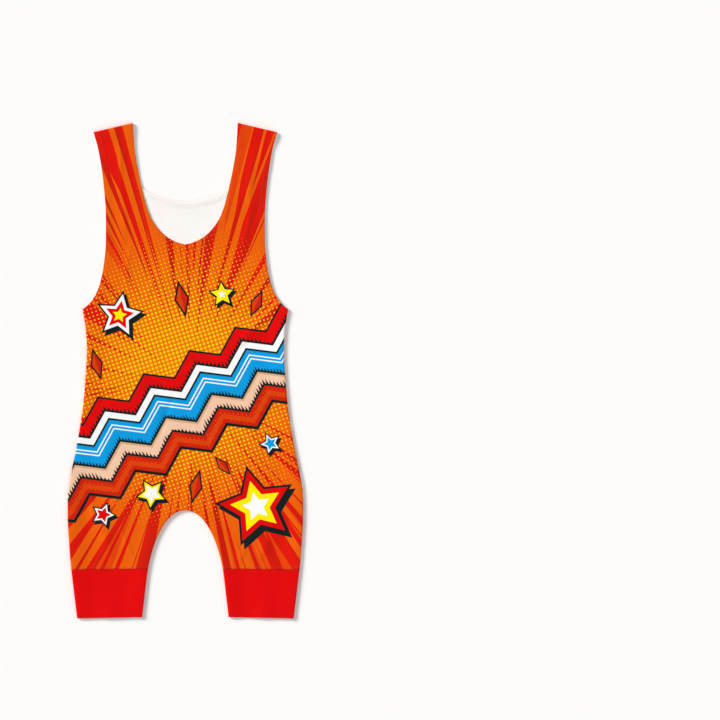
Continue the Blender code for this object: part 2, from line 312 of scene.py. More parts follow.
# folds of the front: middle x and height, turn in degrees from +x, length, width, rise
folds = [
    (78, 216, 28, 150, 17, 2.1), (-70, 226, 147, 130, 15, 1.9), (10, 252, 82, 110, 14, 1.5),
    (104, 398, -14, 140, 18, 2.0), (-98, 421, 9, 120, 16, 1.8), (118, 497, 52, 110, 16, 1.9),
    (-121, 512, 131, 100, 14, 1.7), (-28, 590, 98, 100, 17, 1.5), (112, 742, 84, 150, 13, 1.2),
    (-108, 705, 97, 130, 12, 1.4), (136, 128, 71, 110, 17, 1.7), (-140, 146, 112, 120, 15, 1.8),
    (131, 0, 90, 110, 34, 1.7), (-127, 0, 90, 100, 31, 1.9),
    # small creases
    (54, 203, 44, 96, 6, 1.2), (-46, 207, 131, 84, 6, 1.1), (96, 245, 17, 112, 7, 1.1),
    (-103, 262, 160, 124, 7, 1.1), (38, 311, -62, 108, 9, -0.9), (-31, 350, 71, 114, 9, -1.0),
    (128, 372, -22, 104, 7, 1.2), (-133, 396, 14, 112, 7, 1.1), (88, 452, 33, 128, 9, -0.8),
    (-84, 478, 148, 122, 8, 1.0), (145, 524, 61, 70, 5, 1.0), (-149, 512, 122, 74, 5, 1.0),
    (61, 566, 104, 126, 8, 1.0), (-97, 604, 84, 110, 7, 1.0), (101, 655, 81, 122, 6, 0.9),
    (-114, 782, 93, 96, 5, 0.9), (131, 800, 79, 76, 5, 0.8), (163, 214, 80, 100, 6, 1.0),
    (-164, 190, 97, 90, 6, 1.0), (104, 122, 64, 76, 6, 0.9), (-98, 134, 118, 82, 6, 0.9),
    (21, 428, 12, 150, 10, 0.8), (-52, 318, 168, 96, 8, 0.9), (12, 508, -17, 108, 10, 0.7),
    (-58, 562, 61, 84, 8, 0.8), (142, 318, 52, 88, 7, 0.9), (-150, 330, 131, 84, 7, 0.9),
]
waves = {
    "noises": {  # size in mm and layer of the noise behind each
        "sway": (72.0, 0.3), "rumple": (24.0, 2.6), "pucker": (9.0, 4.1),
        "bendX": (70.0, 7.7), "bendY": (70.0, 9.2),
    },
    "sway": 1.1,  # slow rise and fall between the folds
    "rumple": 0.3,
    "bend": 9.0,  # how far a fold wanders to the side
    "pucker": 0.3,  # along hems and flat seams
    "puckerReach": 16.0,
    "foldScale": 1.5,
    "foldWidth": 0.8,
    "ridgeShare": 0.42,  # of a fold's rise, in the narrower ridge along it
    "ridgeWidth": 0.34,
    "highest": 3.2,  # that a fold may stand
}
cloth = {  # in mm
    "wall": 0.8,
    "solidWall": 1.2,  # of the solid that it replaces
    "edgeRadius": 2.0,  # outer radius of a sewn edge
    "edgeStrip": 0.44,  # upright strip beside the seam line, almost to the other layer's
    "crestFall": 32.0,  # run over which the front comes down from its sewn edges
    "foldFade": 25.0,
    "hemThickness": 1.5,
    "hemRise": 0.35,  # of that, what stands above a single layer
    "hemWidth": 10.0,
    "hemStep": 1.8,
    "joinRadius": 0.35,
    "joinRise": 0.22,  # seam allowance under a flat seam
    "joinLift": 0.3,  # the back's underside there, for the threads below it
    "joinWidth": 5.0,
    "needleRows": (3.0, 8.0),  # from a hem's edge
    "joinRow": 2.4,  # from a flat seam
    "needleDip": 0.22,
    "needleDipBelow": 0.32,  # on the underside, where the threads lie sunk in the cloth
    "needleWidth": 0.7,
    "thinnest": 0.15,
}
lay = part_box("front_body")[0].z / mm + cloth["solidWall"]  # the front's outside, where it rests
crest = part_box("front_cuff_left")[1].z / mm  # and beside its sewn edges
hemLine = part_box("front_cuff_left")[0].y / mm


def noiseAt(points, name):
    size, layer = waves["noises"][name]
    return np.array([noise.noise(Vector((x / size, y / size, layer))) for x, y in points])


def foldHeights(points):
    # each fold is a soft rise with a narrower ridge along it, and wanders a little
    total = np.zeros(len(points))
    bends = [waves["bend"] * noiseAt(points, name) for name in ("bendX", "bendY")]
    points = points + np.column_stack(bends)
    ridge = waves["ridgeShare"]
    for x, height, turn, length, width, rise in folds:
        turn = math.radians(turn)
        offset = points - (x, height)
        along = offset @ (math.cos(turn), math.sin(turn))
        across = offset @ (-math.sin(turn), math.cos(turn))
        profile = (1 - ridge) * np.exp(-((across / (waves["foldWidth"] * width)) ** 2))
        profile += ridge * np.exp(-((across / (waves["ridgeWidth"] * width)) ** 2))
        total += rise * (1 - smooth(np.abs(along) / (length / 2))) * profile
    return total * waves["foldScale"]


def quarter(away, radius):
    # how far a rounded edge has dropped, this far in from it
    return radius - np.sqrt(np.maximum(radius**2 - np.clip(radius - away, 0, radius) ** 2, 0))


def needleDips(away):
    dips = sum(np.exp(-(((away["hem"] - row) / cloth["needleWidth"]) ** 2)) for row in cloth["needleRows"])
    return dips + np.exp(-(((away["join"] - cloth["joinRow"]) / cloth["needleWidth"]) ** 2))


def puckers(points, away):
    near = np.minimum(away["hem"], away["join"])
    return waves["pucker"] * noiseAt(points, "pucker") * np.exp(-((near / waves["puckerReach"]) ** 2))


def edgeShapes(away):
    # hem and flat seam from 0 to 1, the hem's rounding, the whole outside's, and the inside's curl
    # at a sewn edge, measured from the middle of its round
    hem = 1 - smooth((away["hem"] - cloth["hemWidth"] + cloth["hemStep"] / 2) / cloth["hemStep"])
    join = 1 - smooth((away["join"] - cloth["joinWidth"]) / cloth["hemStep"])
    hemRound = quarter(away["hem"], cloth["hemThickness"] / 2)
    outside = np.maximum(hemRound, quarter(away["join"], cloth["joinRadius"]))
    outside = np.maximum(outside, quarter(away["sewn"], cloth["edgeRadius"]))
    inner = cloth["edgeRadius"] - cloth["wall"]
    curl = np.sqrt(np.maximum(inner**2 - (cloth["edgeRadius"] - away["sewn"]) ** 2, 0))
    curl = np.where(away["sewn"] < cloth["wall"], -cloth["edgeStrip"], curl)
    return hem, join, hemRound, outside, curl


def frontHeights(points, away):
    hem, join, hemRound, outside, curl = edgeShapes(away)
    inwards = away["sewn"] - cloth["edgeRadius"]
    calm = smooth(inwards / cloth["foldFade"])
    base = lay + (crest - lay) * (1 - smooth(inwards / cloth["crestFall"]))
    loose = foldHeights(points) + waves["sway"] * (0.5 + noiseAt(points, "sway"))
    loose += waves["rumple"] * noiseAt(points, "rumple")
    loose = waves["highest"] * np.tanh(loose / waves["highest"])
    base = base + loose * calm + puckers(points, away) * calm
    top = base + cloth["hemRise"] * hem + cloth["joinRise"] * join - cloth["needleDip"] * needleDips(away)
    top -= outside
    hemBelow = cloth["hemThickness"] - cloth["wall"] - cloth["hemRise"]
    bottom = base - cloth["wall"] - hemBelow * hem + hemRound
    turned = np.minimum(bottom, base - cloth["edgeRadius"] + curl)
    bottom = np.where(away["sewn"] < cloth["edgeRadius"], turned, bottom)
    return top, np.minimum(bottom, top - cloth["thinnest"])


def backHeights(away):
    hem, join, hemRound, outside, curl = edgeShapes(away)
    bottom = outside + cloth["needleDipBelow"] * needleDips(away) + cloth["joinLift"] * join
    rise = (cloth["joinRise"] + cloth["joinLift"]) * join
    top = cloth["wall"] + (cloth["hemThickness"] - cloth["wall"]) * hem + rise - hemRound
    turned = np.maximum(top, cloth["edgeRadius"] - curl)
    top = np.where(away["sewn"] < cloth["edgeRadius"], turned, top)
    return np.maximum(top, bottom + cloth["thinnest"]), bottom


def faceHeights(points, runs, isFront):
    # levels of a layer's upper and lower face, in mm
    away = kindDistances(points, runs)
    return frontHeights(points, away) if isFront else backHeights(away)


# the map of a panel: its outside fills most of it, and its reverse has a narrow strip
mapLayout = {
    "margin": 0.01,
    "outsideWidth": 0.80,
    "reverseStart": 0.84,
    "reverseWidth": 0.15,
    "height": 0.98,
    "lowerRim": 0.004,  # how far out the rim's lower edge lies
}


def mapFaces(mesh, plan, shade, rim, outline):
    unit = (plan - outline.min(0)) / np.ptp(outline, axis=0)
    height = mapLayout["margin"] + mapLayout["height"] * unit[:, 1]
    outside = np.column_stack((mapLayout["margin"] + mapLayout["outsideWidth"] * unit[:, 0], height))
    reverse = np.column_stack((mapLayout["reverseStart"] + mapLayout["reverseWidth"] * unit[:, 0], height))
    loops = np.empty(len(mesh.loops), np.int32)
    mesh.loops.foreach_get("vertex_index", loops)
    owner = np.repeat(np.arange(len(mesh.polygons)), [len(p.vertices) for p in mesh.polygons])
    count = len(plan)
    uv = np.where((shade[owner] == 1)[:, None], reverse[loops % count], outside[loops % count])
    lowerRim = (owner >= len(mesh.polygons) - len(rim)) & (loops >= count)
    way = uv[lowerRim] - outside[rim].mean(0)
    uv[lowerRim] += mapLayout["lowerRim"] * way / np.linalg.norm(way, axis=1)[:, None]
    layer = mesh.uv_layers.new(name="OFBake")
    layer.data.foreach_set("uv", uv.astype(np.float32).ravel())


def panelMesh(name, runs, isFront):
    outline = outlineOf(runs)
    step = filling["frontGrid"] if isFront else filling["backGrid"]
    plan, corners, rim, area = filledOutline(runs, outline, step)
    top, bottom = faceHeights(plan, runs, isFront)
    count = len(plan)
    place = np.vstack((np.column_stack((plan, top)), np.column_stack((plan, bottom))))
    place[:, 1] += hemLine
    rimFaces = [(p + count, q + count, q, p) for p, q in zip(rim, rim[1:] + rim[:1])]
    everyFace = corners.tolist() + (corners[:, ::-1] + count).tolist() + rimFaces
    mesh = bpy.data.meshes.new(name)
    mesh.from_pydata((place * mm).tolist(), [], everyFace)
    mesh.validate()
    shade = np.zeros(len(everyFace), np.int32)
    reverse = slice(len(corners), 2 * len(corners)) if isFront else slice(0, len(corners))
    shade[reverse] = 1
    mesh.polygons.foreach_set("material_index", shade)
    mesh.shade_smooth()
    mesh.set_sharp_from_angle(angle=math.radians(filling["sharpAngle"]))
    mapFaces(mesh, plan, shade, rim, outline)
    return mesh, area, np.ptp(outline, axis=0) * mm


class Value:
    # a number or colour that changes over the surface
    def __init__(self, look, socket):
        self.look = look
        self.socket = socket

    def math(self, operation, *others):
        return self.look.math(operation, self, *others)

    def mathAfter(self, operation, other):
        return self.look.math(operation, other, self)

    __add__ = __radd__ = partialmethod(math, "ADD")
    __sub__ = partialmethod(math, "SUBTRACT")
    __rsub__ = partialmethod(mathAfter, "SUBTRACT")
    __mul__ = __rmul__ = partialmethod(math, "MULTIPLY")
    __truediv__ = partialmethod(math, "DIVIDE")
    __rtruediv__ = partialmethod(mathAfter, "DIVIDE")
    __mod__ = partialmethod(math, "FLOORED_MODULO")
    __lt__ = partialmethod(math, "LESS_THAN")
    __gt__ = partialmethod(math, "GREATER_THAN")
    __abs__ = partialmethod(math, "ABSOLUTE")


def feed(tree, node, inputs):
    # each input takes a Value, another node's output or a plain value
    for key, value in inputs.items():
        value = value.socket if isinstance(value, Value) else value
        if isinstance(value, bpy.types.NodeSocket):
            tree.links.new(value, node.inputs[key])
        else:
            node.inputs[key].default_value = value


def addNode(tree, kind, inputs=None, **settings):
    made = tree.nodes.new(kind)
    for key, value in settings.items():
        setattr(made, key, value)
    feed(tree, made, inputs or {})
    return made


class Look:
    # one material, with a few shorthands for its nodes
    def __init__(self, name):
        self.material = bpy.data.materials.new(name)
        self.material.use_nodes = True
        self.tree = self.material.node_tree

    def finish(self, inputs):
        feed(self.tree, self.tree.nodes["Principled BSDF"], inputs)
        return self.material

    def node(self, kind, inputs=None, output=0, **settings):
        return Value(self, addNode(self.tree, kind, inputs, **settings).outputs[output])

    def math(self, operation, *values):
        return self.node("ShaderNodeMath", dict(enumerate(values)), operation=operation)

    def mix(self, share, under, over):
        return self.node("ShaderNodeMix", {0: share, 6: under, 7: over}, 2, data_type="RGBA")

    def ease(self, value, start, end):
        # 0 at start, 1 at end, level at both
        return self.node("ShaderNodeMapRange", {0: value, 1: start, 2: end, 3: 0.0, 4: 1.0},
                         interpolation_type="SMOOTHSTEP")

    def parts(self, kind, whole):
        # the three parts of a vector or colour
        return [Value(self, socket) for socket in addNode(self.tree, kind, {0: whole}).outputs]

    def place(self):
        # x and height above the hem, in mm
        x, y, _ = self.parts("ShaderNodeSeparateXYZ", self.node("ShaderNodeTexCoord", output="Object"))
        return x / mm, y / mm - hemLine

    def noise(self, x, y, size, seed=0.0, detail=2.0):
        vector = self.node("ShaderNodeCombineXYZ", {0: x / size, 1: y / size, 2: seed})
        return self.node("ShaderNodeTexNoise", {"Vector": vector, "Scale": 1.0, "Detail": detail})


def colour(red, green, blue):
    # screen colour 0 to 255, as Blender's linear light
    def linear(v):
        v /= 255
        return v / 12.92 if v <= 0.04045 else ((v + 0.055) / 1.055) ** 2.4
    return (linear(red), linear(green), linear(blue), 1.0)


inks = {
    "orange": colour(234, 92, 0),
    "amber": colour(239, 122, 0),
    "deepOrange": colour(230, 67, 2),
    "dot": colour(255, 204, 0),
    "brightRed": colour(224, 17, 2),
    "darkRed": colour(205, 23, 1),
    "brickRed": colour(206, 32, 1),
    "emberRed": colour(217, 65, 1),
    "plainRed": colour(226, 0, 2),
    "sky": colour(4, 156, 224),
    "peach": colour(244, 199, 167),
    "tan": colour(214, 170, 128),
    "yellow": colour(255, 237, 0),
    "white": colour(250, 250, 250),
    "black": colour(17, 28, 28),
}

# the knit: rows of small V stitches with a soft sheen and painted shade over their relief, sizes in mm
knit = {
    "wale": 1.15, "course": 0.95,
    "climb": 1.1,  # courses that a leg of the V would climb over a whole wale
    # shade: painted shade and light over the stitches' relief, as a share of the colour
    "depth": 0.06, "shade": 0.05, "fuzz": 0.6, "fuzzSize": 0.5,
    "cloud": 0.07, "cloudSize": 38.0,
    "roughness": 0.6, "roughnessCloud": 0.1,
    "sheen": 0.02, "sheenRoughness": 0.45, "specular": 0.08,
}


def knitRelief(look, x, height):
    # about -0.5 to 0.5 over the V stitches, with a little fuzz
    leg = abs(x / knit["wale"] % 1.0 - 0.5)
    phase = (height / knit["course"] + leg * knit["climb"]) * (2 * math.pi)
    across = 1 - (abs(leg - 0.25) * 4).math("POWER", 2.0)
    fuzz = look.noise(x, height, knit["fuzzSize"], seed=3.0) - 0.5
    return phase.math("COSINE") * 0.5 * across + fuzz * knit["fuzz"]


def finishKnit(look, x, height, baseColour):
    relief = knitRelief(look, x, height)
    cloudy = look.noise(x, height, knit["cloudSize"], seed=8.0) - 0.5
    # the stitches' relief also darkens and lightens the colour: painted shade
    value = 1 + cloudy * knit["cloud"] + relief * knit["shade"]
    bump = {"Strength": 1.0, "Distance": knit["depth"] * mm, "Height": relief}
    return look.finish({
        "Base Color": look.node("ShaderNodeHueSaturation", {"Value": value, "Color": baseColour}),
        "Roughness": knit["roughness"] + cloudy * knit["roughnessCloud"],
        "Normal": look.node("ShaderNodeBump", bump),
        "Specular IOR Level": knit["specular"],
        "Sheen Weight": knit["sheen"],
        "Sheen Roughness": knit["sheenRoughness"],
    })


# the print: rays and halftone dots round a middle, a zigzag sash, stars and lozenges
printSizes = {
    "dotPitch": 6.9,
    "dotTurn": 18.0,
    "dotRadius": 2.45,
    "dotsFull": 92.0,  # distance from their middle where the dots start to shrink
    "dotsGone": 268.0,
    "dotShrink": 0.7,  # below 1 the dots stay large for longer
    "glow": 0.65,  # share of amber in the middle
    "glowFull": 20.0,
    "glowGone": 240.0,
    "cloud": 0.2,
    "cloudSize": 70.0,
    "mainRayGrowth": 4.0,  # how fast a main ray widens from its start
    "rayGrowth": 1.5,
    "narrowestRay": 0.18,  # share of the widest
}
RayLayer = namedtuple("RayLayer", "number seed widest nearest farthest ink softness sideStep",
                      defaults=(0.0, 0.0))
rayLayers = [  # widest: share of its sector; nearest and farthest: where its rays may start
    RayLayer(14, 17, 0.25, 90, 260, "deepOrange", 0.10),
    RayLayer(23, 27, 0.30, 180, 300, "brightRed"),
    RayLayer(23, 27, 0.20, 190, 310, "darkRed", 0.0, 0.10),
    RayLayer(29, 37, 0.25, 90, 280, "darkRed"),
    RayLayer(19, 47, 0.35, 120, 340, "brightRed"),
    RayLayer(17, 57, 0.15, 180, 330, "deepOrange", 0.05),
    RayLayer(26, 67, 0.35, 160, 300, "deepOrange"),
    RayLayer(47, 77, 0.20, 55, 190, "brightRed"),
    RayLayer(37, 87, 0.15, 70, 200, "darkRed"),
    RayLayer(31, 97, 0.20, 170, 300, "orange"),
]
frontPrint = {
    "middle": (8, 400),
    "glow": (8, 428),  # middle of the paler ground
    "dotsMiddle": (6, 409),
    "raySeed": 0.0,
    "mainRays": [  # turn in degrees from +x, width in degrees, start, ink
        (109.4, 3.4, 330, "brightRed"), (75.1, 2.0, 290, "brightRed"), (72.4, 1.6, 350, "brightRed"),
        (69.6, 1.6, 215, "darkRed"), (281.6, 2.2, 150, "darkRed"),
    ],
    "sash": {
        "middle": (2, 372), "turn": 27.0, "period": 88.0, "swing": 30.0,
        "bands": [  # across the sash, from its lower edge
            (-84, "black"), (-78, "brickRed"), (-70, "emberRed"), (-61, "brickRed"), (-51, "black"),
            (-47, "peach"), (-29, "tan"), (-25, "black"), (-21, "sky"), (-1, "white"), (1.6, "sky"),
            (6, "white"), (8.6, "sky"), (17, "black"), (21, "white"), (33, "black"), (37, "plainRed"),
            (58, "black"),
        ],
        "top": 62.0,
        "hatching": [(-47, 14, 5.2), (-21, 13, 4.6), (37, 12, 5.8)],  # start, length, pitch
        "dots": (-72, -56, "deepOrange"),
    },
    "stars": [  # x, height, radius, turn, plumpness, inks from the outside in
        (122, 192, 64, 14, 0.50, ("black", "plainRed", "yellow", "white")),
        (-113, 520, 37, -9, 0.48, ("black", "white", "plainRed", "yellow")),
        (-58, 214, 24, 31, 0.50, ("black", "yellow", "white", "white")),
        (63, 556, 20, 5, 0.48, ("black", "yellow", "yellow", "white")),
        (-141, 178, 19, -20, 0.50, ("black", "white", "plainRed", "plainRed")),
        (146, 300, 17, 24, 0.48, ("black", "white", "sky", "sky")),
    ],
    "lozenges": [  # x, height, half width, half height, turn
        (-6, 548, 13, 33, 12), (122, 540, 11, 26, -24), (-152, 436, 11, 29, 16),
        (18, 226, 12, 31, -14), (-112, 248, 10, 25, 34), (64, 262, 9, 22, 41),
    ],
}
backPrint = {
    "middle": (-4, 347),
    "glow": (-4, 352),
    "dotsMiddle": (-4, 350),
    "raySeed": 5.0,
    "mainRays": [
        (72.0, 2.6, 330, "brightRed"), (105.5, 3.0, 300, "brightRed"), (85.0, 2.2, 250, "darkRed"),
        (97.0, 1.6, 270, "brightRed"), (300.0, 2.4, 190, "darkRed"),
    ],
    "sash": {
        "middle": (0, 352), "turn": -21.0, "period": 78.0, "swing": 26.0,
        "bands": [
            (-84, "black"), (-76, "plainRed"), (-58, "black"), (-53, "yellow"), (-41, "black"),
            (-36, "white"), (-22, "black"), (-17, "brickRed"), (8, "emberRed"), (18, "brickRed"),
            (30, "black"), (35, "yellow"), (52, "plainRed"), (66, "black"),
        ],
        "top": 71.0,
        "hatching": [(-76, 11, 5.0), (35, 12, 5.6)],
        "dots": (-11, 25, "deepOrange"),
    },
    "stars": [
        (112, 196, 52, -12, 0.50, ("black", "plainRed", "yellow", "white")),
        (-124, 238, 30, 18, 0.48, ("black", "white", "plainRed", "yellow")),
        (-84, 440, 22, 8, 0.50, ("black", "yellow", "white", "white")),
        (128, 432, 18, -27, 0.48, ("black", "white", "sky", "sky")),
    ],
    "lozenges": [(-138, 158, 12, 30, 20), (30, 446, 11, 26, -18), (-36, 226, 11, 28, 12)],
}


def turnedPlace(x, height, middle, turn):
    turn = math.radians(turn)
    dx, dh = x - middle[0], height - middle[1]
    return dx * math.cos(turn) + dh * math.sin(turn), dh * math.cos(turn) - dx * math.sin(turn)


def polar(x, height, middle):
    # distance from a middle, and turns from +x, 0 to 1
    dx, dh = x - middle[0], height - middle[1]
    return (dx * dx + dh * dh).math("SQRT"), dh.math("ARCTAN2", dx) / (2 * math.pi) % 1.0


def mainRay(turns, away, angle, width, start):
    grown = ((away / start - 1) * printSizes["mainRayGrowth"]).math("MINIMUM", 1.0)
    return abs(turns - angle / 360) < grown * (width / 2 / 360)


def rayMask(look, turns, away, layer, raySeed):
    # one ray in each sector, with its place, width and start drawn at random
    sector = turns * layer.number
    number = sector.math("FLOOR")
    drawn = look.node("ShaderNodeTexWhiteNoise", {"W": number + (layer.seed + raySeed)}, 1,
                      noise_dimensions="1D")
    first, second, third = look.parts("ShaderNodeSeparateColor", drawn)
    least = printSizes["narrowestRay"]
    half = layer.widest * (least + (1 - least) * (second * second))
    centre = half + (1 - half * 2) * first
    start = layer.nearest + third * (layer.farthest - layer.nearest)
    edge = half * (1 - start / away) * printSizes["rayGrowth"]
    edge = edge - abs(sector - number - centre - half * layer.sideStep)
    return look.ease(edge, 0.0, layer.softness) * (away > start) if layer.softness else edge > 0.0


def dotMask(x, height, pitch, turn, radius):
    u, v = turnedPlace(x, height, (0, 0), turn)
    du, dv = (u / pitch % 1.0 - 0.5) * pitch, (v / pitch % 1.0 - 0.5) * pitch
    return (du * du + dv * dv).math("SQRT") < radius


def ground(look, x, height, design):
    sizes = printSizes
    away, turns = polar(x, height, design["middle"])
    fromGlow, _ = polar(x, height, design["glow"])
    fromDots, _ = polar(x, height, design["dotsMiddle"])
    cloudy = look.noise(x, height, sizes["cloudSize"], seed=1.0)
    glow = (1 - look.ease(fromGlow, sizes["glowFull"], sizes["glowGone"])) * sizes["glow"]
    made = look.mix(glow + cloudy * sizes["cloud"], inks["orange"], inks["amber"])
    for layer in rayLayers:
        made = look.mix(rayMask(look, turns, away, layer, design["raySeed"]), made, inks[layer.ink])
    for angle, width, start, ink in design["mainRays"]:
        made = look.mix(mainRay(turns, away, angle, width, start), made, inks[ink])
    full = 1 - (fromDots - sizes["dotsFull"]) / (sizes["dotsGone"] - sizes["dotsFull"])
    full = full.math("MAXIMUM", 0.0).math("MINIMUM", 1.0).math("POWER", sizes["dotShrink"])
    dots = dotMask(x, height, sizes["dotPitch"], sizes["dotTurn"], sizes["dotRadius"] * full)
    return look.mix(dots, made, inks["dot"])


sashSizes = {
    "dotPitch": 5.2,
    "dotTurn": 40.0,
    "dotRadius": 1.5,
    "strokeTaper": 2.6,  # how fast a stroke of the ragged edge narrows
    "strokeShortest": -0.35,  # share of a stroke's length, below 0 where it is left out
    "strokeSpread": 1.7,
    "strokeNoise": 19.0,
    "strokeFoot": 1.0,  # how far a stroke reaches back over its line
}


def addSash(look, x, height, under, sash):
    along, across = turnedPlace(x, height, sash["middle"], sash["turn"])
    half = sash["period"] / 2
    across = across - (along.math("PINGPONG", half) / half - 0.5) * sash["swing"]
    bands = sash["bands"]
    made = under
    for start, ink in bands:
        made = look.mix(across > start, made, inks[ink])
    low, high, ink = sash["dots"]
    spots = dotMask(x, height, sashSizes["dotPitch"], sashSizes["dotTurn"], sashSizes["dotRadius"])
    made = look.mix(spots * (across > low) * (across < high), made, inks[ink])
    for start, length, pitch in sash["hatching"]:
        uneven = look.noise(along, 0.0, sashSizes["strokeNoise"], seed=start / 10, detail=1.0)
        uneven = uneven * sashSizes["strokeSpread"] + sashSizes["strokeShortest"]
        stroke = (1 - abs(along / pitch % 1.0 - 0.5) * sashSizes["strokeTaper"]) * length * uneven
        inked = (across > start - sashSizes["strokeFoot"]) * (across - start < stroke)
        made = look.mix(inked, made, inks["black"])
    inside = (across > bands[0][0]) * (across < sash["top"])
    return look.mix(inside, under, made)


starSizes = {
    "line": 1.4,  # the inked line of a star with no radius
    "lineGrowth": 0.035,  # and what each mm of radius adds
    "shadow": (1.7, -2.0),  # the shadow's shift, in line widths
    "bands": (0.13, 0.27),  # depth of the inner two inks, as a share of the radius
}


def starEdge(x, height, place, radius, turn, plumpness):
    # distance outside a five-point star's edge, below 0 inside
    dx, dh = x - place[0], height - place[1]
    sector = 2 * math.pi / 5
    angle = dh.math("ARCTAN2", dx) - math.radians(turn + 90)
    fold = abs((angle + sector / 2) % sector - sector / 2)
    away = (dx * dx + dh * dh).math("SQRT")
    px, py = away * fold.math("COSINE"), away * fold.math("SINE")
    inner = radius * plumpness
    ex, ey = inner * math.cos(sector / 2) - radius, inner * math.sin(sector / 2)
    length = math.hypot(ex, ey)
    return (px - radius) * (ey / length) - py * (ex / length)


def addStar(look, x, height, under, row):
    cx, ch, radius, turn, plumpness, names = row
    line = starSizes["line"] + radius * starSizes["lineGrowth"]
    right, up = starSizes["shadow"]
    shadow = starEdge(x, height, (cx + line * right, ch + line * up), radius, turn, plumpness)
    edge = starEdge(x, height, (cx, ch), radius, turn, plumpness)
    made = look.mix(shadow < line, under, inks["black"])
    for step, name in zip((line, 0.0, *(-radius * band for band in starSizes["bands"])), names):
        made = look.mix(edge < step, made, inks[name])
    return made


lozengeInside = 0.74  # share of the lozenge inside its inked line


def addLozenge(look, x, height, under, row):
    cx, ch, wide, tall, turn = row
    u, v = turnedPlace(x, height, (cx, ch), turn)
    edge = abs(u) / wide + abs(v) / tall
    made = look.mix(edge < 1.0, under, inks["black"])
    made = look.mix(edge < lozengeInside, made, inks["brickRed"])
    return look.mix((edge < lozengeInside) * (u < 0.0), made, inks["emberRed"])


def printedLook(name, design):
    look = Look(name)
    x, height = look.place()
    made = ground(look, x, height, design)
    for row in design["lozenges"]:
        made = addLozenge(look, x, height, made, row)
    made = addSash(look, x, height, made, design["sash"])
    for row in design["stars"]:
        made = addStar(look, x, height, made, row)
    return finishKnit(look, x, height, made)


def plainLook(name, ink):
    look = Look(name)
    x, height = look.place()
    return finishKnit(look, x, height, ink)


showThrough = {"most": 0.07, "size": 55.0}  # the print's colour on the unprinted side, in clouds


def reverseLook(name, paper, stain):
    look = Look(name)
    x, height = look.place()
    through = look.noise(x, height, showThrough["size"], seed=5.0) * showThrough["most"]
    return finishKnit(look, x, height, look.mix(through, paper, stain))


# shade: painted shade in stripes along the thread's twist, around its value
thread = {"twist": 9.0, "value": 0.95, "shade": 0.08, "roughness": 0.45, "specular": 0.35}


def threadLook(name, ink):
    look = Look(name)
    x, height = look.place()
    # painted shade: the colour darkens and lightens in stripes as if the twisted plies were lit
    twist = ((x + height) * thread["twist"]).math("SINE") * thread["shade"] + thread["value"]
    return look.finish({
        "Base Color": look.node("ShaderNodeHueSaturation", {"Value": twist, "Color": ink}),
        "Roughness": thread["roughness"],
        "Specular IOR Level": thread["specular"],
    })


looks = {
    "frontPrint": printedLook("frontPrint", frontPrint),
    "backPrint": printedLook("backPrint", backPrint),
    "plainRed": plainLook("plainRed", inks["plainRed"]),
    "paleReverse": reverseLook("paleReverse", colour(251, 249, 246), colour(240, 170, 130)),
    "redReverse": reverseLook("redReverse", colour(244, 226, 222), colour(232, 110, 100)),
    "orangeThread": threadLook("orangeThread", colour(229, 82, 14)),
    "redThread": threadLook("redThread", colour(214, 8, 20)),
    "paleThread": threadLook("paleThread", colour(244, 236, 226)),
}
print("looks made")


def addObject(name, mesh):
    made = bpy.data.objects.new(name, mesh)
    bpy.context.scene.collection.objects.link(made)
    return made


def joinMeshes(name, meshes):
    made = [addObject(f"{name}_{k}", mesh) for k, mesh in enumerate(meshes)]
    if len(made) > 1:
        with bpy.context.temp_override(active_object=made[0], selected_editable_objects=made):
            bpy.ops.object.join()
    made[0].name = name
    made[0].data.name = name
    return made[0]


# stitches: Geometry Nodes lay small threads along a row, sizes in mm and turns in degrees
stitches = {
    "needle": {"Pitch": 3.0, "Length": 2.7, "Width": 0.42, "Turn": 0.0, "Swing": 0.0},
    "ladder": {"Pitch": 2.4, "Length": 5.4, "Width": 0.336, "Turn": 90.0, "Swing": 9.0},
    "looper": {"Pitch": 1.8, "Length": 5.6, "Width": 0.294, "Turn": 90.0, "Swing": 38.0},
    "wander": 0.09,  # most that a thread is turned at random, in radians
    "seed": 7,
    "sides": 6,
    "rings": 5,
    "frontLift": 0.02,
    "backLift": -0.10,
    "ladderRow": 0.2,  # from the flat seam
    "ladderLift": 0.1,
    "looperLift": 0.05,
    "margin": 2.2,  # from an edge of another kind
    "shortest": 3,  # points in a row that is worth sewing
    "probes": 5,  # places across a row where the cloth's level is read
}


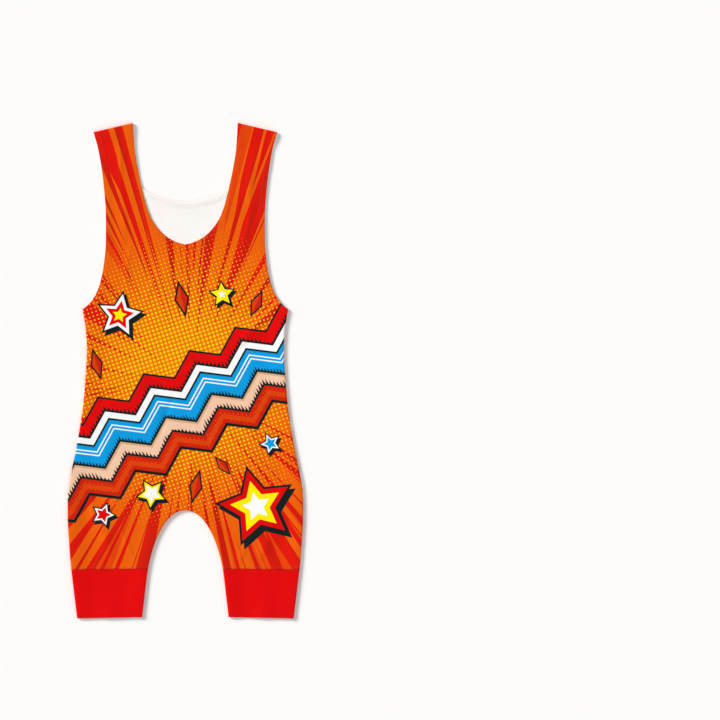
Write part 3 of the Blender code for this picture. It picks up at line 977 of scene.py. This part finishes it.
def stitchTree():
    tree = bpy.data.node_groups.new("stitchRow", "GeometryNodeTree")
    face = tree.interface
    face.new_socket("Geometry", in_out="INPUT", socket_type="NodeSocketGeometry")
    sockets = {name: face.new_socket(name, in_out="INPUT", socket_type="NodeSocketFloat")
               for name in stitches["needle"]}
    sockets["Thread"] = face.new_socket("Thread", in_out="INPUT", socket_type="NodeSocketMaterial")
    face.new_socket("Geometry", in_out="OUTPUT", socket_type="NodeSocketGeometry")

    def node(kind, inputs=None, output=0, **settings):
        return addNode(tree, kind, inputs, **settings).outputs[output]

    def maths(operation, *values):
        return node("ShaderNodeMath", dict(enumerate(values)), operation=operation)

    def turnedOn(rotation, axis, angle):
        # turned about one of its own axes
        turn = node("FunctionNodeAxisAngleToRotation", {"Axis": axis, "Angle": angle})
        return node("FunctionNodeRotateRotation", {0: rotation, 1: turn}, rotation_space="LOCAL")

    given = addNode(tree, "NodeGroupInput").outputs
    curve = node("GeometryNodeMeshToCurve", {"Mesh": given["Geometry"]})
    row = node("GeometryNodeResampleCurve", {"Curve": curve, "Length": given["Pitch"]}, mode="LENGTH")
    facing = node("FunctionNodeAxesToRotation", {0: node("GeometryNodeInputTangent"), 1: (0.0, 0.0, 1.0)},
                  primary_axis="X", secondary_axis="Z")
    lean = node("GeometryNodeInputNamedAttribute", {"Name": "lean"}, data_type="FLOAT")
    even = maths("FLOORED_MODULO", node("GeometryNodeInputIndex"), 2.0)
    side = maths("MULTIPLY_ADD", even, 2.0, -1.0)
    swung = maths("MULTIPLY_ADD", side, given["Swing"], given["Turn"])
    drawn = node("FunctionNodeRandomValue", {
        2: -stitches["wander"], 3: stitches["wander"], "Seed": stitches["seed"]}, 1, data_type="FLOAT")
    leaning = turnedOn(facing, (1.0, 0.0, 0.0), lean)
    turned = turnedOn(leaning, (0.0, 0.0, 1.0), maths("ADD", swung, drawn))
    size = node("ShaderNodeCombineXYZ", {0: given["Length"], 1: given["Width"], 2: given["Width"]})
    bead = node("GeometryNodeMeshUVSphere", {
        "Segments": stitches["sides"], "Rings": stitches["rings"], "Radius": 0.5})
    placed = node("GeometryNodeInstanceOnPoints", {
        "Points": row, "Instance": bead, "Rotation": turned, "Scale": size})
    real = node("GeometryNodeRealizeInstances", {0: placed})
    soft = node("GeometryNodeSetShadeSmooth", {0: real})
    dyed = node("GeometryNodeSetMaterial", {"Geometry": soft, "Material": given["Thread"]})
    addNode(tree, "NodeGroupOutput", {0: dyed})
    return tree, {name: socket.identifier for name, socket in sockets.items()}


stitchNodes, stitchInputs = stitchTree()


def stitchedRow(lines, kind, dyed):
    # lines of places in metres, each with its lean, become one plain mesh of stitches
    edges, count = [], 0
    for line in lines:
        edges += [(k, k + 1) for k in range(count, count + len(line) - 1)]
        count += len(line)
    places = np.vstack(lines)
    guideMesh = bpy.data.meshes.new("stitchGuide")
    guideMesh.from_pydata(places[:, :3].tolist(), edges, [])
    leans = guideMesh.attributes.new("lean", "FLOAT", "POINT")
    leans.data.foreach_set("value", places[:, 3].astype(np.float32))
    guide = addObject("stitchGuide", guideMesh)
    modifier = guide.modifiers.new("stitchRow", "NODES")
    modifier.node_group = stitchNodes
    for name, value in stitches[kind].items():
        modifier[stitchInputs[name]] = math.radians(value) if name in ("Turn", "Swing") else value * mm
    modifier[stitchInputs["Thread"]] = dyed
    graph = bpy.context.evaluated_depsgraph_get()
    mesh = bpy.data.meshes.new_from_object(guide.evaluated_get(graph))
    bpy.data.objects.remove(guide)
    return mesh


def rowLines(panel, kind, depth, onOutside, lift, reach=0.0):
    # places for a row of stitches on one face of a panel: x, y and level, and the lean across the
    # row, so that threads of this reach to both sides lie on the cloth
    outline = outlineOf(panel.runs)
    upper = panel.isFront == onOutside
    way = 1 if upper else -1
    offsets = np.linspace(-reach, reach, stitches["probes"])[:, None]
    lines = []
    for run in panel.runs:
        if run.kind != kind:
            continue
        ring, clear = ringRow(run, depth, panel.runs, outline, stitches["margin"])
        if clear.sum() < stitches["shortest"]:
            continue
        ring, inward = ring[clear], -outward(run.points)[clear]
        levels = np.array([faceHeights(ring + offset * inward, panel.runs, panel.isFront)[0 if upper else 1]
                           for offset in offsets])
        slope = (levels[-1] - levels[0]) / max(2 * reach, 1.0)  # level where there is no reach
        level = way * ((way * (levels - slope * offsets)).max(0) + lift)
        place = np.column_stack((ring[:, 0], ring[:, 1] + hemLine, level)) * mm
        lines.append(np.column_stack((place, np.arctan(slope))))
    return lines


def needleStitches(panel, dyed):
    lift = stitches["frontLift"] if panel.isFront else stitches["backLift"]
    lines = []
    for depth in cloth["needleRows"]:
        lines += rowLines(panel, "hem", depth, True, lift)
    lines += rowLines(panel, "join", cloth["joinRow"], True, lift)
    return stitchedRow(lines, "needle", dyed)


def ladderStitches(panel, dyed):
    # cross threads over a flat seam
    reach = stitches["ladder"]["Length"] / 2
    lines = rowLines(panel, "join", stitches["ladderRow"], True, stitches["ladderLift"], reach)
    return stitchedRow(lines, "ladder", dyed)


def looperStitches(panel, dyed):
    # the underside of a hem's stitching, between its two needle rows
    middle = sum(cloth["needleRows"]) / 2
    return stitchedRow(rowLines(panel, "hem", middle, False, stitches["looperLift"]), "looper", dyed)


# floor, light and camera
studio = {
    "floor": (252, 251, 249), "grain": (228, 226, 222), "grainShare": 0.02, "grainSize": 240.0,
    "floorRoughness": 0.85, "floorSpecular": 0.1,
    "floorSize": 40.0, "floorDrop": 0.0002,  # in metres, the drop below the cloth
    "worldColour": (1.0, 1.0, 1.0), "worldStrength": 0.29,
    "lamps": [  # compass turn from +y towards -x, height above the floor, softness in degrees, share
        (58.0, 27.0, 20.0, 0.52),
        (-115.0, 40.0, 60.0, 0.12),
        (175.0, 35.0, 50.0, 0.08),
    ],
    "imageSide": 720, "mmPerPixel": 1.716, "centreLineColumn": 185.4, "hemRow": 618.3,
    "distance": 8.0, "sensor": 36.0,
}


def addFloor():
    mesh = bpy.data.meshes.new("floor")
    half = studio["floorSize"] / 2
    level = -studio["floorDrop"]
    mesh.from_pydata([(-half, -half, level), (half, -half, level), (half, half, level),
                      (-half, half, level)], [], [(0, 1, 2, 3)])
    look = Look("paleFloor")
    x, y = look.place()
    grain = look.noise(x, y, studio["grainSize"], seed=2.0) * studio["grainShare"]
    mesh.materials.append(look.finish({
        "Base Color": look.mix(grain, colour(*studio["floor"]), colour(*studio["grain"])),
        "Roughness": studio["floorRoughness"],
        "Specular IOR Level": studio["floorSpecular"],
    }))
    addObject("floor", mesh)


addFloor()

Panel = namedtuple("Panel", "node runs isFront outside restsOn")
panels = [
    Panel("front_body", frontRuns(), True, "frontPrint", ["back_body", "back_band", "back_yoke"]),
    Panel("front_cuff_left", cuffRuns(1), True, "plainRed", ["back_cuff_left"]),
    Panel("front_cuff_right", cuffRuns(-1), True, "plainRed", ["back_cuff_right"]),
    Panel("back_yoke", yokeRuns(), False, "backPrint", ["floor"]),
    Panel("back_band", bandRuns(), False, "plainRed", ["floor"]),
    Panel("back_body", backBodyRuns(), False, "backPrint", ["floor"]),
    Panel("back_cuff_left", cuffRuns(1), False, "plainRed", ["floor"]),
    Panel("back_cuff_right", cuffRuns(-1), False, "plainRed", ["floor"]),
]
finishes = {  # material slot, reverse and thread for each outside
    "frontPrint": ("printed_knit", "paleReverse", "orangeThread"),
    "backPrint": ("printed_knit", "paleReverse", "orangeThread"),
    "plainRed": ("red_knit", "redReverse", "redThread"),
}


def addPanel(panel):
    name = panel.node
    slot, reverse, dyed = finishes[panel.outside]
    mesh, area, size = panelMesh(name, panel.runs, panel.isFront)
    mesh.materials.append(looks[panel.outside])
    mesh.materials.append(looks[reverse])
    piece = addObject(name + "_cloth", mesh)
    rows = [needleStitches(panel, looks[dyed])]
    if slot == "red_knit":  # every flat seam has a red piece on one side
        rows.append(ladderStitches(panel, looks[dyed]))
    sewing = [joinMeshes(name + "_stitches", rows)]
    if name == "back_yoke":  # its inside shows in the scoop of the neck
        sewing.append(addObject("back_yoke_looper", looperStitches(panel, looks["paleThread"])))
    for made in [piece, *sewing]:
        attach(made, "root")
    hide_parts(name)
    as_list(panel.restsOn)
    print(name, "made:", len(mesh.polygons), "faces,", round(area, 4), "square metres")


for panel in panels:
    addPanel(panel)


def addLight():
    world = bpy.data.worlds.new("studio")
    bpy.context.scene.world = world
    world.use_nodes = True
    feed(world.node_tree, world.node_tree.nodes["Background"], {
        "Color": (*studio["worldColour"], 1.0), "Strength": studio["worldStrength"]})
    for number, (turn, rise, softness, share) in enumerate(studio["lamps"]):
        turn, rise = math.radians(turn), math.radians(rise)
        light = bpy.data.lights.new(f"lamp{number}", "SUN")
        light.angle = math.radians(softness)
        light.energy = share * math.pi / math.sin(rise)
        lamp = addObject(f"lamp{number}", light)
        source = Vector((-math.sin(turn), math.cos(turn), math.tan(rise)))
        lamp.rotation_mode = "QUATERNION"
        lamp.rotation_quaternion = source.to_track_quat("Z", "Y")


def addCamera():
    # straight above, with the hem and the centre line at their places in the image
    metresPerPixel = studio["mmPerPixel"] * mm
    middle = studio["imageSide"] / 2
    data = bpy.data.cameras.new("camera")
    data.sensor_width = studio["sensor"]
    data.lens = studio["sensor"] * studio["distance"] / (studio["imageSide"] * metresPerPixel)
    camera = addObject("camera", data)
    camera.location = ((middle - studio["centreLineColumn"]) * metresPerPixel,
                       (studio["hemRow"] - middle) * metresPerPixel + hemLine * mm, studio["distance"])
    bpy.context.scene.camera = camera


addLight()
addCamera()
bpy.context.scene.view_settings.view_transform = "Standard"
print("studio made")
